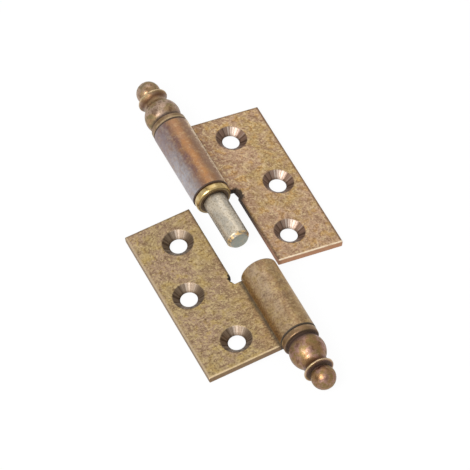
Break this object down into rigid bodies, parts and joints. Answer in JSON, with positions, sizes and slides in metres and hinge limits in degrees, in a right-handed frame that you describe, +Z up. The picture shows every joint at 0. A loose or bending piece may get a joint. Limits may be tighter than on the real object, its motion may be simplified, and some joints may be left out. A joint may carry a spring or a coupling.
{
  "type": "lift-off butt hinge",
  "caption": "Lift-off butt hinge with rolled knuckles, staggered countersunk screw holes and a turned finial at each end, drawn apart on its pin.",
  "frame": {"origin": "on the surface it lies on, under the pin axis, midway between the two finials", "axes": "+Y along the pin axis towards the pin half's finial, +X towards the pin half's leaf, +Z up, off the screw faces"},
  "size_m": [0.0496, 0.109, 0.0099],
  "materials": {
    "leaf_brass": "aged, mottled and speckled with a dull tan patina",
    "finial_brass": "aged turned brass, brown with a soft sheen",
    "ring_brass": "rubbed bright yellow brass",
    "pin_steel": "dull grey-beige steel with a rubbed tip"
  },
  "bodies": {
    "pin_half": {"pin_side_leaf": "leaf_brass", "pin_side_finial": "finial_brass", "hinge_pin": "pin_steel"},
    "ring": {"bearing_ring": "ring_brass"},
    "socket_half": {"socket_side_leaf": "leaf_brass", "socket_side_finial": "finial_brass"}
  },
  "joints": [
    {"name": "swing", "type": "hinge", "parent": "pin_half", "child": "ring", "pos_m": [0, 0.01235, 0.00494], "axis": [0, 1, 0], "range_deg": [-129, 192]},
    {"name": "lift_off", "type": "slide", "parent": "ring", "child": "socket_half", "axis": [0, -1, 0], "range_m": [-0.0256, 0]}
  ]
}
